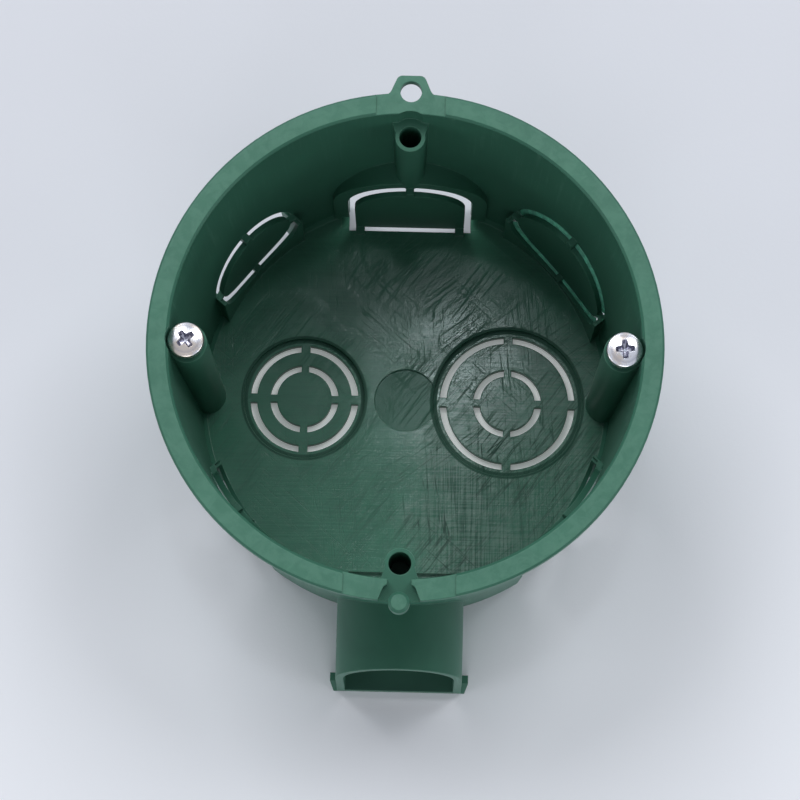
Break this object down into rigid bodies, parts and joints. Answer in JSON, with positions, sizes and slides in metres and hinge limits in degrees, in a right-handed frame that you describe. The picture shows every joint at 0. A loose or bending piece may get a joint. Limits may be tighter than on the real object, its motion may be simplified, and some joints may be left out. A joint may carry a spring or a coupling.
{
  "type": "round back box",
  "caption": "Round flush back box with knock-outs, round side entries, conduit spigot, coupling lug and fixing screws.",
  "frame": {"origin": "centre of the flat back face", "axes": "+Z out of the open mouth, +Y towards the coupling lug on the rim, -Y towards the conduit spigot"},
  "size_m": [0.0706, 0.0818, 0.0456],
  "materials": {
    "moulding": "moulded, satin",
    "screws": "bright zinc plated"
  },
  "bodies": {
    "root": {"back_box": "moulding", "device_screws": "screws"}
  },
  "joints": []
}
